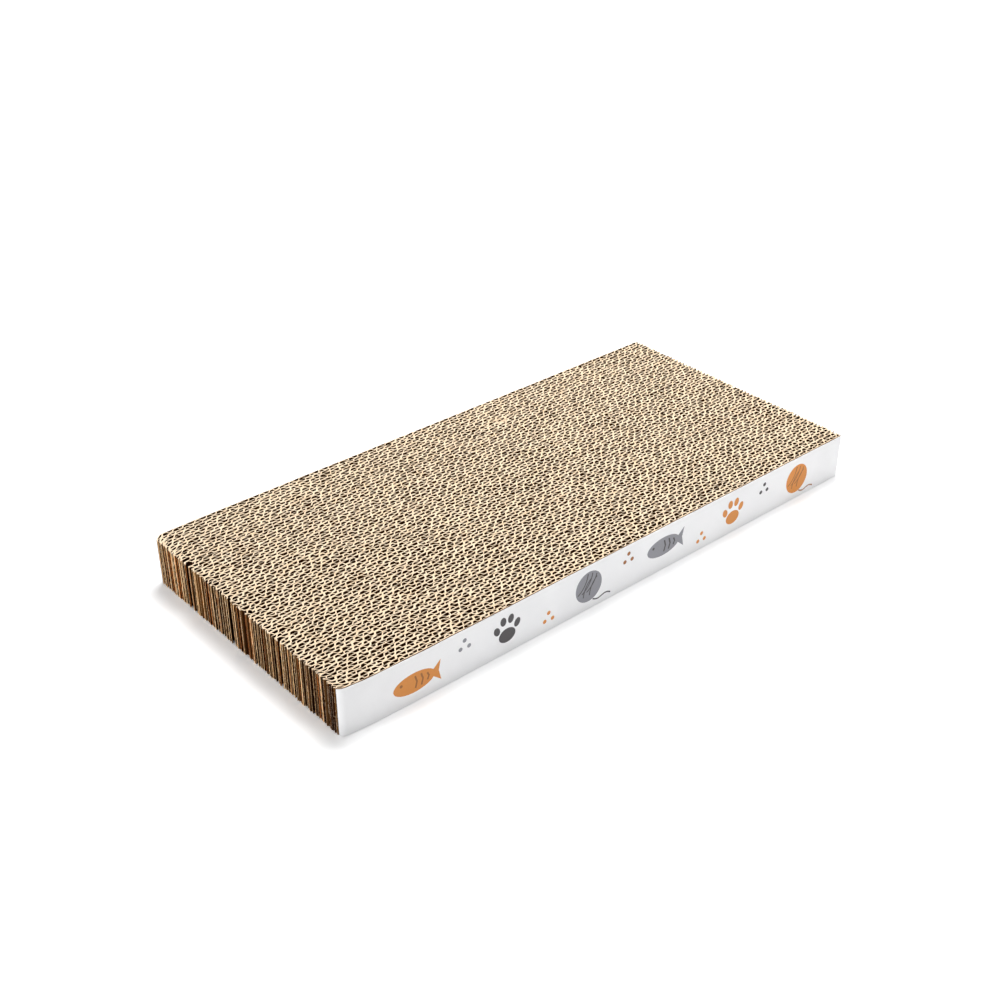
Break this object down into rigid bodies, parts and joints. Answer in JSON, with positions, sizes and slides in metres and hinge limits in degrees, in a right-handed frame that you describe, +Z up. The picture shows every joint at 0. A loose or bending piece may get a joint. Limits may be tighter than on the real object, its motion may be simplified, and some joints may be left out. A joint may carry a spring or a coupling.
{
  "type": "cardboard cat scratcher",
  "caption": "Flat cat scratching pad of corrugated cardboard strips stood on edge and glued side by side, with white card along both long sides.",
  "frame": {"origin": "middle of the underside, on the surface that the pad lies on", "axes": "+X along the strips, towards the end with the crisp corners; +Y across the strips, from the front card to the back card; +Z up, along the flutes"},
  "size_m": [0.43, 0.2012, 0.033],
  "materials": {
    "kraft_board": "matte, raw cut edges",
    "white_card": "smooth, matte coated"
  },
  "bodies": {
    "root": {"strip_01": "kraft_board", "strip_02": "kraft_board", "strip_03": "kraft_board", "strip_04": "kraft_board", "strip_05": "kraft_board", "strip_06": "kraft_board", "strip_07": "kraft_board", "strip_08": "kraft_board", "strip_09": "kraft_board", "strip_10": "kraft_board", "strip_11": "kraft_board", "strip_12": "kraft_board", "strip_13": "kraft_board", "strip_14": "kraft_board", "strip_15": "kraft_board", "strip_16": "kraft_board", "strip_17": "kraft_board", "strip_18": "kraft_board", "strip_19": "kraft_board", "strip_20": "kraft_board", "strip_21": "kraft_board", "strip_22": "kraft_board", "strip_23": "kraft_board", "strip_24": "kraft_board", "strip_25": "kraft_board", "strip_26": "kraft_board", "strip_27": "kraft_board", "strip_28": "kraft_board", "strip_29": "kraft_board", "strip_30": "kraft_board", "strip_31": "kraft_board", "strip_32": "kraft_board", "front_card": "white_card", "back_card": "white_card"}
  },
  "joints": []
}
